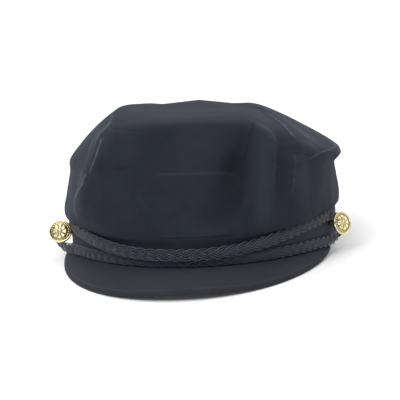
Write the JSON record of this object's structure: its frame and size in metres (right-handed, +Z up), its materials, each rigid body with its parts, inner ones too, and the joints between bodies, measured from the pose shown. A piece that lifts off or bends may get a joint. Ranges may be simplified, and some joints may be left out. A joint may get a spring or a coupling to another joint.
{
  "type": "sailor cap",
  "caption": "Soft navy cloth cap with a puffed, creased crown, an upright band, a short front peak, plaited cord braids and domed gilt buttons.",
  "frame": {"origin": "on the resting surface, under the middle of the cap's box", "axes": "+Z up, -Y to the front where the peak is, +X to the right as seen from the front"},
  "size_m": [0.1912, 0.2402, 0.0952],
  "materials": {
    "cloth": "brushed navy cotton cloth",
    "cord": "fine navy cords in a flat plait",
    "gilt": "polished gilt, toned in the hollows"
  },
  "bodies": {
    "root": {"crown": "cloth", "band": "cloth", "peak": "cloth", "braid_upper": "cord", "braid_lower": "cord", "button_left": "gilt", "button_right": "gilt"}
  },
  "joints": []
}
